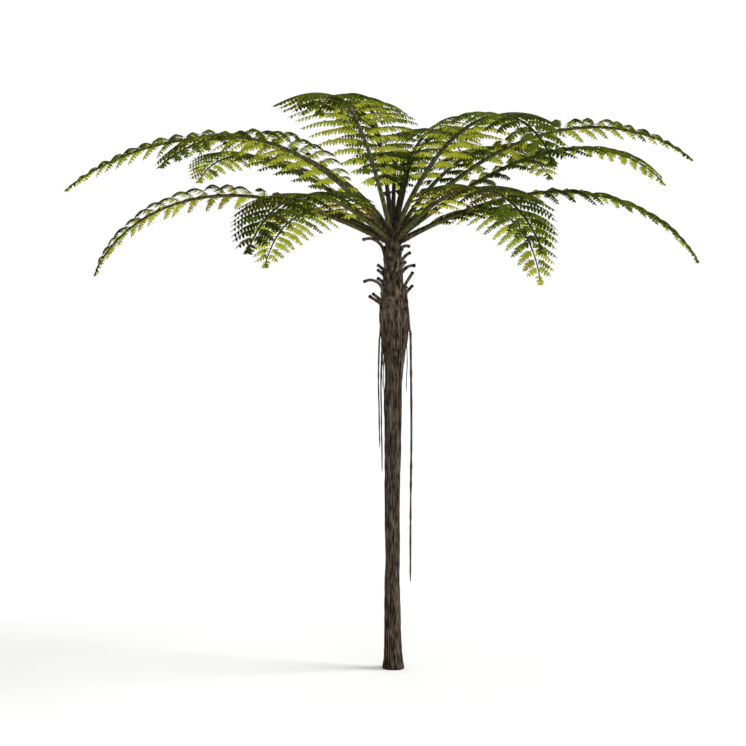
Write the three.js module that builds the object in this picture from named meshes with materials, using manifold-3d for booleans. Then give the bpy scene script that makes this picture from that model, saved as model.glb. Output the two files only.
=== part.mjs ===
// Tree fern, a rooted whole plant. Millimetres, +Z up, the flat cut under the trunk at z = 0.
import * as THREE from "three";
import Module from "manifold-3d";

const wasm = await Module();
wasm.setup();

// Materials, one per slot of the record.
const MATERIALS = {
  trunk_bark: new THREE.MeshStandardMaterial({ name: "trunk_bark", color: 0x5d5043, roughness: 0.9 }),
  frond_leaf: new THREE.MeshStandardMaterial({ name: "frond_leaf", color: 0x5c7a25, roughness: 0.6 }),
  young_stem: new THREE.MeshStandardMaterial({ name: "young_stem", color: 0x3a3428, roughness: 0.7 }),
};

// Clearances and the trunk's own sizes.
const CLEAR = 0.3; // gap between two parts that belong together
const LEAF_CLEAR = 3; // least gap between leaflets of different fronds
const TRUNK_SIDES = 16;
// Height, radius and sideways shift of each trunk section, from the flat cut to the tip.
const TRUNK = [
  [0, 117, 0], [40, 108, 0], [100, 97, -2], [250, 83, -8], [600, 74, -12], [1200, 70, -12],
  [1730, 73, -12], [2260, 81, -9], [2800, 84, -6], [3120, 86, 6], [3260, 104, 8], [3430, 128, 6],
  [3640, 134, 2], [3850, 122, -4], [4100, 106, -10], [4250, 102, -11], [4380, 94, -10],
  [4500, 80, -8], [4580, 58, -7], [4622, 28, -6],
];

// Cut leaf bases: azimuth, height of the foot, rise, length and droop of the free end in degrees.
const STUBS = [
  [185, 4280, 78, 345, 105], [172, 4140, 42, 98, 10], [190, 4085, 42, 98, 10], [168, 4005, 42, 95, 10],
  [183, 3925, 62, 265, 96], [196, 3795, 42, 160, 5], [160, 3770, 36, 195, 5], [8, 4355, 50, 125, 78],
  [350, 4320, 60, 60, 10], [20, 4190, 66, 190, 42], [345, 4165, 50, 90, 10], [5, 4090, 62, 200, 72],
  [352, 3925, 61, 230, 6], [10, 3850, 54, 175, 8], [262, 4180, 52, 110, 20], [285, 4020, 50, 120, 20],
  [240, 4050, 52, 110, 20], [255, 3830, 46, 110, 15], [92, 4200, 52, 120, 25], [118, 4040, 50, 150, 50],
  [66, 4090, 52, 110, 20], [80, 3880, 50, 180, 80], [130, 3840, 44, 110, 15], [40, 3900, 46, 120, 20],
];
const STUB_RADIUS = 17;
const STUB_TAPER = 0.85; // radius at the cut, as a part of the radius at the foot
const STUB_SUNK = 30; // how far a foot is sunk in the trunk
const STRAIGHT_DROOP = 40; // a stub that droops less is one straight piece

// Hanging aerial roots: azimuth, height where it leaves the trunk, hanging distance, lower end, radius.
const ROOTS = [
  [186, 3520, 152, 2300, 8], [203, 3480, 136, 2050, 8], [352, 3560, 182, 905, 12],
  [262, 3420, 150, 2420, 7], [98, 3500, 158, 1650, 10],
];

// Fronds: azimuth of the foot, rise and fall in degrees, length, bend, sweep, height of the foot, roll.
const FRONDS = {
  front_left: [241.5, 19, -44, 3360, 1.53, 11, 4445, 0],
  front_right: [296, 22.8, -48.8, 3385, 1.49, -6.8, 4442, 0],
  left_low: [185.6, 24.7, -65, 3390, 1.85, 1, 4447, -4],
  right_low: [1.7, 27, -56.3, 3470, 1.75, -1, 4440, -9],
  front_high: [254, 44.3, -33.8, 3360, 1.6, 6.6, 4510, 0],
  front_right_high: [303.5, 51.5, -49.7, 3500, 1.25, -14.7, 4535, -4],
  left_front_high: [223, 39, -35.5, 3395, 1.37, 11.5, 4500, 0],
  right_high: [346.6, 46.2, -38.2, 3400, 1.54, -6, 4500, 0],
  left_high: [199, 57, -38.3, 3690, 0.88, -8, 4555, 0],
  right_back: [10.6, 36.4, -41.5, 3400, 2.23, 10.3, 4489, -8],
  back_left_curve: [162.3, 39.1, -23.4, 3390, 1.61, -47.9, 4506, 0],
  back_right_curve: [43.9, 50, -28.9, 3350, 1.4, 11.9, 4510, 0],
  back_left_low: [127.1, 22.7, -40.4, 3380, 1.66, -17.9, 4463, 0],
  back_right_low: [44.2, 22.7, -64, 3390, 2.12, 20.5, 4430, 0],
  back_high: [99.2, 61.3, -35.8, 3350, 2.08, 4.4, 4530, 0],
  back_right_high: [72.6, 64, -34.1, 3350, 1.28, -4, 4545, 0],
  back_middle: [88, 56, -30, 3300, 1.25, 0, 4470, 0],
};

// The leaflets of a frond.
const PAIRS = 18; // leaflet pairs
const STIPE = 0.2; // bare part of the stem
const CROWDING = 1.06; // above 1, the pairs stand closer towards the tip
const LEAFY_END = 0.955; // part of the leafy stretch that the pairs fill
const LEAFLET = 620; // longest leaflet
const WIDEST = 0.42; // where the longest leaflets stand, as a part of the leafy stretch
const FIRST_LENGTH = 0.2; // of the longest leaflet
const LAST_LENGTH = 0.23;
const LENGTH_FALL = 1.35; // power by which the leaflets shorten towards the tip
const FIRST_ANGLE = 84; // degrees between a leaflet and the stem ahead of it
const LAST_ANGLE = 52;
const LEAFLET_WIDTH = 0.7; // of the distance between two leaflets
const LEAFLET_THICK = 7.5;
const LEAFLET_MIDDLE = 0.42; // place of the mid section along a leaflet
const LEAFLET_REACH = 0.97;
const LEAFLET_RISE = 0.06; // of the mid section over the foot, as a part of the length
const LEAFLET_DROOP = 0.15; // of the tip
const SHORTER = [1, 0.75, 0.5]; // lengths tried where something is in the way
const SPLIT_PAIR = 8; // the frond is split at its bend, before this pair
const ARCH_STEPS = 88; // steps that the arch of a stem is summed in
const FOOT_DEPTH = 40; // where a stem starts, from the trunk's middle
const TIP_LENGTH = 0.014; // end leaflet, as a part of the stem

const rad = (degrees) => (degrees * Math.PI) / 180;
const mix = (a, b, t) => a + (b - a) * t;
const vec = (x, y, z) => new THREE.Vector3(x, y, z);
const UP = vec(0, 0, 1);

// A closed body from points and faces, as a manifold-3d solid.
class Body {
  constructor() {
    this.points = [];
    this.faces = [];
  }
  add(p) {
    this.points.push(p.x, p.y, p.z);
    return this.points.length / 3 - 1;
  }
  tri(a, b, c) {
    this.faces.push(a, b, c);
  }
  quad(a, b, c, d) {
    this.tri(a, b, c);
    this.tri(a, c, d);
  }
  // Joins two rings of the same count. Rings run anticlockwise as seen from ahead.
  join(low, high) {
    low.forEach((a, i) => {
      const next = (i + 1) % low.length;
      this.quad(a, low[next], high[next], high[i]);
    });
  }
  fan(ring, centre) {
    ring.forEach((a, i) => this.tri(a, ring[(i + 1) % ring.length], centre));
  }
  solid() {
    return new wasm.Manifold(
      new wasm.Mesh({
        numProp: 3,
        vertProperties: new Float32Array(this.points),
        triVerts: new Uint32Array(this.faces),
      }),
    );
  }
}

// A rod through places, each with a centre, two directions across and a radius.
function rod(places, sides, point = 0) {
  const body = new Body();
  const rings = places.map(({ at, side, top, radius }) =>
    Array.from({ length: sides }, (_, i) => {
      const turn = (i / sides) * 2 * Math.PI;
      const across = side.clone().multiplyScalar(Math.cos(turn)).addScaledVector(top, Math.sin(turn));
      return body.add(at.clone().addScaledVector(across, radius));
    }),
  );
  for (let i = 1; i < rings.length; i++) body.join(rings[i - 1], rings[i]);
  const last = places[places.length - 1];
  const ahead = last.side.clone().cross(last.top);
  body.fan([...rings[0]].reverse(), body.add(places[0].at));
  body.fan(rings[rings.length - 1], body.add(last.at.clone().addScaledVector(ahead, point)));
  return body.solid();
}

// A rod along points, with one of its directions across kept near the one given.
function rodAlong(points, radii, sides, across, point = 0) {
  const places = points.map((at, i) => {
    const next = points[Math.min(i + 1, points.length - 1)];
    const ahead = next.clone().sub(points[Math.max(i - 1, 0)]).normalize();
    const side = across.clone().addScaledVector(ahead, -across.dot(ahead)).normalize();
    return { at, side, top: ahead.clone().cross(side), radius: radii[i] };
  });
  return rod(places, sides, point);
}

const outward = (azimuth) => vec(Math.cos(rad(azimuth)), Math.sin(rad(azimuth)), 0);
const sideways = (out) => vec(-out.y, out.x, 0);

// Trunk

const trunkAt = (z) => {
  const i = Math.max(1, TRUNK.findIndex(([height]) => height >= z));
  const [a, b] = [TRUNK[i - 1], TRUNK[i]];
  const t = (z - a[0]) / (b[0] - a[0]);
  return { radius: mix(a[1], b[1], t), shift: mix(a[2], b[2], t) };
};

function trunkBody(grown) {
  const places = TRUNK.map(([z, radius, shift]) => ({
    at: vec(shift, 0, z),
    side: vec(1, 0, 0),
    top: vec(0, 1, 0),
    radius: radius + grown,
  }));
  places[places.length - 1].at.z += grown;
  return rod(places, TRUNK_SIDES);
}

function stubBody([azimuth, height, rise, length, droop], grown) {
  const out = outward(azimuth);
  const { radius, shift } = trunkAt(height);
  const steps = droop > STRAIGHT_DROOP ? 4 : 1;
  const points = [vec(shift, 0, height).addScaledVector(out, radius - STUB_SUNK)];
  for (let i = 0; i < steps; i++) {
    const angle = rad(rise - droop * ((i + 0.5) / steps) ** 1.5);
    const step = (i ? length : length + STUB_SUNK) / steps;
    const move = out.clone().multiplyScalar(Math.cos(angle)).addScaledVector(UP, Math.sin(angle));
    points.push(points[i].clone().addScaledVector(move, step));
  }
  const radii = points.map((_, i) => STUB_RADIUS * mix(1, STUB_TAPER, i / steps) + grown);
  return rodAlong(points, radii, 5, sideways(out));
}

function trunk(grown) {
  return STUBS.reduce((solid, stub) => solid.add(stubBody(stub, grown)), trunkBody(grown));
}

// A root leaves the trunk, bends down within a hand's breadth and hangs free.
const ROOT_BEND = 150; // height that the bend takes
const ROOT_START = [[0, 0.3], [0.1, 0.82], [0.45, 0.97], [1, 1]]; // drop and reach, as parts
const ROOT_WAVE = 6; // sideways wander of the free part

function rootBody([azimuth, height, distance, end, radius]) {
  const out = outward(azimuth);
  const points = ROOT_START.map(([drop, reach]) =>
    vec(0, 0, height - drop * ROOT_BEND).addScaledVector(out, distance * reach),
  );
  for (const part of [0.35, 0.7, 1]) {
    const away = distance + ROOT_WAVE * Math.sin(part * 5);
    points.push(vec(0, 0, mix(height - ROOT_BEND, end, part)).addScaledVector(out, away));
  }
  const radii = points.map((_, i) => radius * mix(1, 0.55, i / (points.length - 1)));
  return rodAlong(points, radii, 6, sideways(out), radius);
}

// Fronds

// The arch of a frond's stem: place and directions at a part s of its length.
function archOf([azimuth, rise, fall, length, bend, sweep, foot, roll]) {
  const at = [vec(trunkAt(foot).shift, 0, foot).addScaledVector(outward(azimuth), FOOT_DEPTH)];
  const aheadAt = (s) => {
    const angle = rad(mix(rise, fall, s ** bend));
    const turn = rad(azimuth + sweep * s);
    return vec(Math.cos(angle) * Math.cos(turn), Math.cos(angle) * Math.sin(turn), Math.sin(angle));
  };
  for (let i = 0; i < ARCH_STEPS; i++)
    at.push(at[i].clone().addScaledVector(aheadAt((i + 0.5) / ARCH_STEPS), length / ARCH_STEPS));
  return (s) => {
    const place = Math.min(s * ARCH_STEPS, ARCH_STEPS - 1e-6);
    const i = Math.floor(place);
    const ahead = aheadAt(s);
    const level = ahead.clone().cross(UP).normalize();
    const over = level.clone().cross(ahead);
    const tilt = rad(roll * Math.min(1, s * 3));
    return {
      at: at[i].clone().lerp(at[i + 1], place - i),
      ahead,
      side: level.clone().multiplyScalar(Math.cos(tilt)).addScaledVector(over, Math.sin(tilt)),
      top: over.clone().multiplyScalar(Math.cos(tilt)).addScaledVector(level, -Math.sin(tilt)),
    };
  };
}

// Half width and half depth of the stem, at its foot and at its tip.
const RIB_FOOT = [23, 26];
const RIB_TIP = [4, 5];
const ribHalf = (s) => RIB_FOOT.map((size, i) => mix(size, RIB_TIP[i], s ** 0.7));
// Where leaflet pair k starts along the stem.
const pairAt = (k) => STIPE + (1 - STIPE) * LEAFY_END * (1 - (1 - k / PAIRS) ** CROWDING);
// Length of the leaflets at a part u of the leafy stretch.
function leafletLength(u) {
  if (u < WIDEST) return LEAFLET * mix(FIRST_LENGTH, 1, Math.sin(((u / WIDEST) * Math.PI) / 2));
  return LEAFLET * mix(1, LAST_LENGTH, ((u - WIDEST) / (1 - WIDEST)) ** LENGTH_FALL);
}
const leafletAngle = (u) => rad(mix(FIRST_ANGLE, LAST_ANGLE, u));

// Mid section and tip of one leaflet, from the place of its foot on the stem.
function leafletShape(arch, k, hand, scale) {
  const s = (pairAt(k) + pairAt(k + 1)) / 2;
  const { at, ahead, side, top } = arch(s);
  const u = (k + 0.5) / PAIRS;
  const length = leafletLength(u) * scale;
  const angle = leafletAngle(u);
  const out = side.clone().multiplyScalar(hand * Math.sin(angle)).addScaledVector(ahead, Math.cos(angle));
  const across = ahead.clone().multiplyScalar(Math.sin(angle)).addScaledVector(side, -hand * Math.cos(angle));
  const part = (direction, share) => direction.clone().multiplyScalar(length * share);
  const middle = at.clone().add(part(out, LEAFLET_MIDDLE)).add(part(top, LEAFLET_RISE));
  const tip = at.clone().add(part(out, LEAFLET_REACH)).add(part(UP, -LEAFLET_DROOP));
  return { across, middle, tip, top };
}

// Corners of a section across the stem, upper right first, anticlockwise as seen from ahead.
const CORNERS = [[1, 1], [1, -1], [-1, -1], [-1, 1]];
// The same for the mid section of a leaflet to the right and to the left of the stem.
const LEAF_CORNERS = {
  1: [[-1, 1], [-1, -1], [1, -1], [1, 1]],
  "-1": [[-1, -1], [-1, 1], [1, 1], [1, -1]],
};

function leafletMiddle({ across, middle, top }, width, hand) {
  const half = (width * LEAFLET_WIDTH) / 2;
  const thick = LEAFLET_THICK / 2;
  return LEAF_CORNERS[hand].map(([a, b]) =>
    middle.clone().addScaledVector(across, a * half).addScaledVector(top, b * thick),
  );
}

const corners = ({ at, side, top }, [wide, deep]) =>
  CORNERS.map(([a, b]) => at.clone().addScaledVector(side, a * wide).addScaledVector(top, b * deep));

// Corners of the stem's side where a leaflet stands, between the sections at its two ends.
const footOf = (low, high, hand) =>
  hand > 0 ? [low[0], low[1], high[1], high[0]] : [low[2], low[3], high[3], high[2]];

// Adds leaflet k to a body, on a foot that the body already holds.
function addLeaflet(body, foot, frond, arch, k, hand, scale) {
  const width = (pairAt(k + 1) - pairAt(k)) * frond[3];
  const shape = leafletShape(arch, k, hand, scale);
  const middle = leafletMiddle(shape, width, hand).map((p) => body.add(p));
  body.join(foot, middle);
  body.fan(middle, body.add(shape.tip));
}

// One half of a frond: its stem along the stations, with the leaflets that `scales` keeps.
function frondHalf(frond, stations, scales, isTip, grown = 0) {
  const arch = archOf(frond);
  const body = new Body();
  const halves = (s) => ribHalf(s).map((size) => size + grown);
  const rings = stations.map(({ s }) => corners(arch(s), halves(s)).map((p) => body.add(p)));
  for (let i = 1; i < rings.length; i++) {
    const [low, high] = [rings[i - 1], rings[i]];
    body.quad(low[3], low[0], high[0], high[3]); // upper face
    body.quad(low[1], low[2], high[2], high[1]); // lower face
    const k = stations[i - 1].pair;
    for (const hand of [1, -1]) {
      const foot = footOf(low, high, hand);
      const scale = k === undefined ? 0 : scales[`${k}${hand}`];
      if (scale) addLeaflet(body, foot, frond, arch, k, hand, scale);
      else body.quad(...foot);
    }
  }
  body.quad(...[...rings[0]].reverse());
  const end = arch(stations[stations.length - 1].s);
  const last = rings[rings.length - 1];
  if (isTip) body.fan(last, body.add(end.at.clone().addScaledVector(end.ahead, frond[3] * TIP_LENGTH)));
  else body.quad(...last);
  return body.solid();
}

// A leaflet on its own, to test its room against what other fronds hold.
function leafletProbe(frond, arch, k, hand, scale) {
  const body = new Body();
  const [low, high] = [k, k + 1].map((pair) => corners(arch(pairAt(pair)), ribHalf(pairAt(pair))));
  const foot = footOf(low, high, hand).map((p) => body.add(p));
  body.quad(...[...foot].reverse());
  addLeaflet(body, foot, frond, arch, k, hand, scale);
  return body.solid();
}

const BARE_STATIONS = [0, 0.05, 0.11].map((s) => ({ s }));
const pairStations = (from, to) =>
  Array.from({ length: to - from }, (_, i) => ({ s: pairAt(from + i), pair: from + i }));

// Stations of the two halves of a frond, which is split at its bend.
function halvesOf(frond) {
  const split = pairAt(SPLIT_PAIR);
  return [
    [...BARE_STATIONS, ...pairStations(0, SPLIT_PAIR), { s: split }],
    [
      { s: split + CLEAR / frond[3], pair: SPLIT_PAIR },
      ...pairStations(SPLIT_PAIR + 1, PAIRS),
      { s: pairAt(PAIRS) },
    ],
  ];
}

// Croziers: the young leaves, still rolled up, with small curled side shoots.

const CROZIERS = {
  crozier_left: {
    path: [
      [-24, -6, 4570], [-30, 10, 4760], [-62, 40, 5000], [-104, 52, 5240], [-138, 58, 5440],
      [-185, 60, 5600], [-262, 60, 5720], [-345, 60, 5790],
    ],
    foot: 24, // radius of the stem at its foot
    coil: 52, // radius of the rolled end
  },
  crozier_right: {
    path: [
      [26, -6, 4560], [56, 8, 4740], [100, 34, 4930], [132, 44, 5090], [172, 50, 5240],
      [262, 54, 5410], [400, 56, 5530], [560, 56, 5590],
    ],
    foot: 22,
    coil: 48,
  },
};
const CROZIER_STEPS = 10; // pieces of the stem
const COIL_STEPS = 8;
const COIL_TURN = 2.3 * Math.PI;
const COIL_END = 8; // radius of the rod at the end of the coil
const SHOOTS = 4; // pairs of curled side shoots
const SHOOT_STEPS = 4;
const SHOOT_TURN = 1.35 * Math.PI;

// Points round a centre, from the side that `back` points to, first towards `ahead`.
function rollPoints(centre, back, ahead, turn, steps, radiusAt) {
  return Array.from({ length: steps }, (_, i) => {
    const part = (i + 1) / steps;
    const [angle, radius] = [part * turn, radiusAt(part)];
    return centre
      .clone()
      .addScaledVector(back, radius * Math.cos(angle))
      .addScaledVector(ahead, radius * Math.sin(angle));
  });
}

// The free end rolls inward under the stem.
function crozier({ path, foot, coil }) {
  const curve = new THREE.CatmullRomCurve3(path.map((p) => vec(...p)));
  const across = vec(0, 1, 0);
  const ahead = curve.getTangent(1);
  const over = ahead.clone().cross(across).normalize();
  if (over.z < 0) over.negate();
  const centre = curve.getPoint(1).addScaledVector(over, -coil);
  const coilRadius = (part) => coil * mix(1, 0.3, part);
  const rolled = rollPoints(centre, over, ahead, COIL_TURN, COIL_STEPS, coilRadius);
  const points = [...curve.getPoints(CROZIER_STEPS), ...rolled];
  const radii = points.map((_, i) => mix(foot, COIL_END, Math.min(1, i / (points.length - 4))));
  let solid = rodAlong(points, radii, 6, across);
  for (let i = 0; i < SHOOTS; i++) {
    const part = i / (SHOOTS - 1);
    const s = mix(0.42, 0.95, part);
    for (const hand of [1, -1]) {
      const out = across.clone().multiplyScalar(hand);
      solid = solid.add(curledShoot(curve.getPoint(s), curve.getTangent(s), out, mix(46, 18, part)));
    }
  }
  return solid;
}

// A side shoot: a short stalk outward that rolls up in a ring.
function curledShoot(at, along, out, size) {
  const bend = at.clone().addScaledVector(out, size * 1.1).addScaledVector(along, size * 0.5);
  const reach = size * 0.9;
  const centre = bend.clone().addScaledVector(out, reach);
  const back = out.clone().negate();
  const points = [at, bend, ...rollPoints(centre, back, along, SHOOT_TURN, SHOOT_STEPS, () => reach)];
  const radii = points.map((_, i) => size * mix(0.3, 0.2, i / SHOOT_STEPS));
  return rodAlong(points, radii, 4, out.clone().cross(along).normalize());
}

// Assembly

function meshOf(name, solid, slot) {
  const { vertProperties, triVerts } = solid.getMesh();
  const geometry = new THREE.BufferGeometry();
  geometry.setAttribute("position", new THREE.BufferAttribute(vertProperties, 3));
  geometry.setIndex(new THREE.BufferAttribute(triVerts, 1));
  geometry.computeVertexNormals();
  const mesh = new THREE.Mesh(geometry, MATERIALS[slot]);
  mesh.name = name;
  return mesh;
}

const largest = (solid) => solid.decompose().reduce((a, b) => (b.volume() > a.volume() ? b : a));

const boxesMeet = (a, b, margin) =>
  [0, 1, 2].every((i) => a.min[i] - margin <= b.max[i] && b.min[i] - margin <= a.max[i]);

// Gives each leaflet its full length, or a shorter one, or none where another part is in its way.
function leafletScales(arches, obstacles) {
  const kept = {};
  const taken = [];
  const names = Object.keys(FRONDS);
  for (const name of names) kept[name] = {};
  for (let k = 0; k < PAIRS; k++)
    for (const name of names)
      for (const hand of [1, -1])
        for (const scale of SHORTER) {
          const solid = leafletProbe(FRONDS[name], arches[name], k, hand, scale);
          const box = solid.boundingBox();
          const blocked = [...obstacles, ...taken].some(
            (other) =>
              other.owner !== name &&
              boxesMeet(box, other.box, LEAF_CLEAR) &&
              solid.minGap(other.solid, LEAF_CLEAR) < LEAF_CLEAR,
          );
          if (blocked) continue;
          kept[name][`${k}${hand}`] = scale;
          taken.push({ owner: name, solid, box });
          break;
        }
  return kept;
}

const trunkSolid = trunk(0);
const trunkRoom = trunk(CLEAR);
const roots = ROOTS.map((row) => rootBody(row).subtract(trunkRoom));
const croziers = Object.entries(CROZIERS).map(([name, row]) => [name, crozier(row).subtract(trunkRoom)]);
const held = (owner, solid) => ({ owner, solid, box: solid.boundingBox() });
const arches = {};
const obstacles = [
  held("trunk", trunkSolid),
  ...roots.map((solid) => held("root", solid)),
  ...croziers.map(([name, solid]) => held(name, solid)),
];
for (const [name, frond] of Object.entries(FRONDS)) {
  arches[name] = archOf(frond);
  for (const stations of halvesOf(frond)) obstacles.push(held(name, frondHalf(frond, stations, {}, false)));
}
const scales = leafletScales(arches, obstacles);

const root = new THREE.Group();
root.add(meshOf("trunk", trunkSolid, "trunk_bark"));
roots.forEach((solid, i) => root.add(meshOf(`root_${i + 1}`, solid, "trunk_bark")));
for (const [name, solid] of croziers) root.add(meshOf(name, solid, "young_stem"));
// Stems that crowd at the trunk give way to those listed before them.
let room = trunkRoom;
for (const [name, frond] of Object.entries(FRONDS)) {
  const [near, far] = halvesOf(frond);
  const inner = largest(frondHalf(frond, near, scales[name], false).subtract(room));
  const outer = frondHalf(frond, far, scales[name], true);
  root.add(meshOf(`frond_${name}_inner`, inner, "frond_leaf"));
  root.add(meshOf(`frond_${name}_outer`, outer, "frond_leaf"));
  room = room.add(frondHalf(frond, [...BARE_STATIONS, { s: STIPE }], {}, false, CLEAR));
}

export default root;
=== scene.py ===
import math

import bpy
import numpy as np
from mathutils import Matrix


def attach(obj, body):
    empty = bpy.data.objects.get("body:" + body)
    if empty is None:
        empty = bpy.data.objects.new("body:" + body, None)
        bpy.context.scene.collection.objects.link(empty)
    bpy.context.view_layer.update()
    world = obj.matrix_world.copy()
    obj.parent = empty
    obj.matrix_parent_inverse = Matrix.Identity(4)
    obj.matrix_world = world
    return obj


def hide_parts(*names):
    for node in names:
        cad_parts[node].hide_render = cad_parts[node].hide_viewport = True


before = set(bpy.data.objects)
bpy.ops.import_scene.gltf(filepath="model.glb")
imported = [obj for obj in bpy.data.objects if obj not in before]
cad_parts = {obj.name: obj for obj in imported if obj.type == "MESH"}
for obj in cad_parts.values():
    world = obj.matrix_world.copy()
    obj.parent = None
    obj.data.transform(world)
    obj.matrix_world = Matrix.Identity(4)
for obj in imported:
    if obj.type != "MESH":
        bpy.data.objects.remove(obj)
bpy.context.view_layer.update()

# Tree fern: the looks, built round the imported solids. Metres, +Z up, the flat cut of the trunk at z = 0.
UP = np.array([0.0, 0.0, 1.0])
BACK = np.array([0.0, 1.0, 0.0])

# Camera: a level view from 15.6 m away.
PHOTO_PIXELS = 746
FOCAL_PIXELS = 1500
SENSOR_MM = 36.0
CAMERA_PLACE = (-0.214, -15.645, 3.077)
CAMERA_REACH = 2000

# Light: place, strength and angle in degrees of each sun, and the point that they aim at.
SUNS = {
    "key": ((7.0, -0.4, 7.6), 4.9, 34),
    "front": ((2.5, -9.0, 7.0), 1.3, 45),
}
SUN_AIM = (0, 0, 3.0)
WORLD_STRENGTH = 1.0

# Floor: a plain pale square, just below the trunk's cut.
FLOOR_GREY = 0.525
FLOOR_ROUGHNESS = 0.9
FLOOR_SHINE = 0.1
FLOOR_HALF = 900
FLOOR_Z = -0.0005

# Small helpers


def mix(a, b, t):
    """Part t of the way from a to b."""
    return a + (b - a) * t


def unit(v):
    """The same directions with a length of 1."""
    return v / np.linalg.norm(v, axis=-1, keepdims=True)


def dot(a, b):
    return np.sum(a * b, axis=-1, keepdims=True)


def outward(azimuth):
    """Level direction at an azimuth in degrees."""
    turn = math.radians(azimuth)
    return np.array([math.cos(turn), math.sin(turn), 0.0])


def table_at(x, table):
    """Straight-line reading of a table of (place, value) rows."""
    return np.interp(x, *zip(*table))


def within(z, span, ease):
    """1 between two heights, easing in above the lower one and out below the upper one."""
    return np.clip((z - span[0]) / ease[0], 0, 1) * np.clip((span[1] - z) / ease[1], 0, 1)


def smooth_table(x, table, column):
    """Smooth curve through one column of a table whose first column is the place."""
    places = np.array([row[0] for row in table])
    values = np.array([row[column] for row in table])
    slopes = np.gradient(values, places)
    i = np.clip(np.searchsorted(places, x) - 1, 0, len(places) - 2)
    step = places[i + 1] - places[i]
    t = np.clip((x - places[i]) / step, 0, 1)
    start = (1 + 2 * t) * (1 - t) ** 2 * values[i] + t * (1 - t) ** 2 * step * slopes[i]
    end = t * t * (3 - 2 * t) * values[i + 1] + t * t * (t - 1) * step * slopes[i + 1]
    return start + end


def spline(points, count):
    """Points along a smooth curve through the given points."""
    points = np.asarray(points, float)
    padded = np.vstack([2 * points[0] - points[1], points, 2 * points[-1] - points[-2]])
    place = np.linspace(0, len(points) - 1, count)
    i = np.minimum(place.astype(int), len(points) - 2)
    t = (place - i)[:, None]
    a, b, c, d = (padded[i + k] for k in range(4))
    return 0.5 * (2 * b + (c - a) * t + (2 * a - 5 * b + 4 * c - d) * t**2 + (3 * b - a - 3 * c + d) * t**3)


def along_line(rows, t):
    """Points or directions at parts t of a line of them."""
    parts = np.linspace(0, 1, len(rows))
    return np.stack([np.interp(t, parts, rows[:, axis]) for axis in range(3)], -1)


# Meshes


class Pile:
    """Points and triangles of many small things that become one joined mesh."""

    def __init__(self):
        self.points = []
        self.faces = []
        self.count = 0

    def add(self, points, faces):
        self.points.append(points)
        self.faces.append(faces + self.count)
        self.count += len(points)

    def piece(self, name, material, slot):
        return mesh_piece(name, np.vstack(self.points), np.vstack(self.faces), material)


def new_object(name, data):
    """An object in the scene."""
    made = bpy.data.objects.new(name, data)
    bpy.context.scene.collection.objects.link(made)
    return made


def mesh_object(name, points, faces, material):
    mesh = bpy.data.meshes.new(name)
    mesh.from_pydata(points, [], faces)
    mesh.materials.append(material)
    return new_object(name, mesh)


def mesh_piece(name, points, faces, material):
    """A smooth mesh of one material, which rides on the part's one body."""
    piece = mesh_object(name, points.tolist(), faces.tolist(), material)
    piece.data.shade_smooth()
    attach(piece, "root")
    return piece


def mark_points(piece, name, values):
    """Gives each point of a piece a value that its material reads."""
    attribute = piece.data.attributes.new(name, "FLOAT", "POINT")
    attribute.data.foreach_set("value", np.concatenate(values))


def grid_faces(rings, count):
    """Triangles between rings of points, each with `count` points and closed round on itself."""
    row, column = np.meshgrid(np.arange(rings - 1), np.arange(count), indexing="ij")
    a = (row * count + column).ravel()
    b = (row * count + (column + 1) % count).ravel()
    return np.vstack([np.stack([a, b, b + count], 1), np.stack([a, b + count, a + count], 1)])


def cap_faces(rings, count):
    """Fans that close both ends, round the two points that follow the rings."""
    ring = np.arange(count)
    after = np.roll(ring, -1)
    last = (rings - 1) * count
    centre = rings * count
    start = np.stack([after, ring, np.full(count, centre)], 1)
    end = np.stack([last + ring, last + after, np.full(count, centre + 1)], 1)
    return np.vstack([start, end])


def across_of(points, near):
    """Directions along a line of points, and across it, kept near the one given."""
    ahead = unit(np.gradient(points, axis=0))
    side = unit(near - dot(ahead, near) * ahead)
    return side, np.cross(ahead, side)


def tube(pile, points, side, top, wide, deep, section, upper=None):
    """A closed rod. The section is a ring of (across, up) parts, anticlockwise as seen from ahead.

    `upper` collects how near each point is to the upper side, from 0 to 1.
    """
    rings, count = len(points), len(section)
    wide = np.broadcast_to(wide, rings)[:, None, None]
    deep = np.broadcast_to(deep, rings)[:, None, None]
    places = (
        points[:, None, :]
        + side[:, None, :] * section[None, :, :1] * wide
        + top[:, None, :] * section[None, :, 1:] * deep
    )
    if upper is not None:
        upper.append(np.tile((section[:, 1] + 1) / 2, rings))
        upper.append(np.array([0.5, 0.5]))
    faces = np.vstack([grid_faces(rings, count), cap_faces(rings, count)])
    pile.add(np.vstack([places.reshape(-1, 3), points[0], points[-1]]), faces)


def ring_section(sides, squeeze=()):
    """A round section, with the corners listed in `squeeze` drawn in by a part."""
    turns = np.arange(sides) / sides * 2 * np.pi
    size = np.ones(sides)
    for corner, part in squeeze:
        size[corner] = part
    return np.stack([np.cos(turns) * size, np.sin(turns) * size], 1)


# Materials. Noise is given as (cells to a metre, share of them along the height, detail).
LEAF_ROUGHNESS = 0.6
LEAF_SHINE = 0.01
LEAF_GRAIN = (260, 1, 2)
LEAF_GRAIN_HEIGHT = 0.0006
STEM_ROUGHNESS = 0.7
STEM_SHINE = 0.08
TWO_SIDED_SHINE = 0.02
STREAKS = (28, 0.35, 4)
STREAK_STOPS = (0.36, 0.64)  # the streaks' noise is dark up to the first and light from the second
DOTS = (300, 1, 2)
DOT_HEIGHT = 0.0012
UPPER_SPAN = (0.25, 0.7)  # parts of a stem's thickness between which its upper colour sets in
ROUGHNESS_SPREAD = (-0.1, 0.15)  # how far grain or dots take the roughness down and up
FIBRES = (85, 0.07, 4)
FIBRE_TILT = 0.1  # radians between a set of fibres and the height
FIBRE_SHARE = 3.3  # how far the fibres' noise spreads the bark's shades
FIBRE_HEIGHT = 0.003
BARK_SHINE = 0.05
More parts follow.
